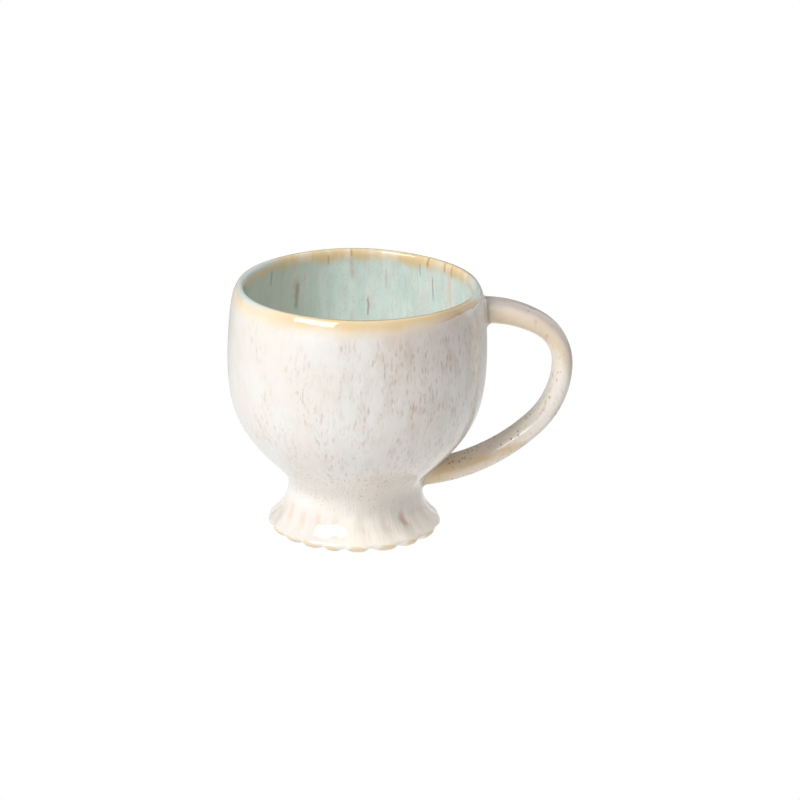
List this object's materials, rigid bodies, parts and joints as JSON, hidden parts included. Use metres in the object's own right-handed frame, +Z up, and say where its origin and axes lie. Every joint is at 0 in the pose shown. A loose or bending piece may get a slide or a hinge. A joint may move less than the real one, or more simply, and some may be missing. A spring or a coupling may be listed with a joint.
{
  "type": "mug",
  "caption": "Round-bellied stoneware mug on a short neck and a pleated foot, with a strap handle drawn from below the lip back into the neck.",
  "frame": {"origin": "middle of the face that stands on the table, on the axis of the bowl", "axes": "+Z up along the axis of the bowl, +X from the axis towards the handle"},
  "size_m": [0.1278, 0.095, 0.0939],
  "materials": {
    "glaze": "glossy off-white glaze with fine vertical pink-brown flecks, a honey band under the lip, a sea-green inside with streaks and runs, and honey edges on the pleats of the foot"
  },
  "bodies": {
    "root": {"mug": "glaze"}
  },
  "joints": []
}
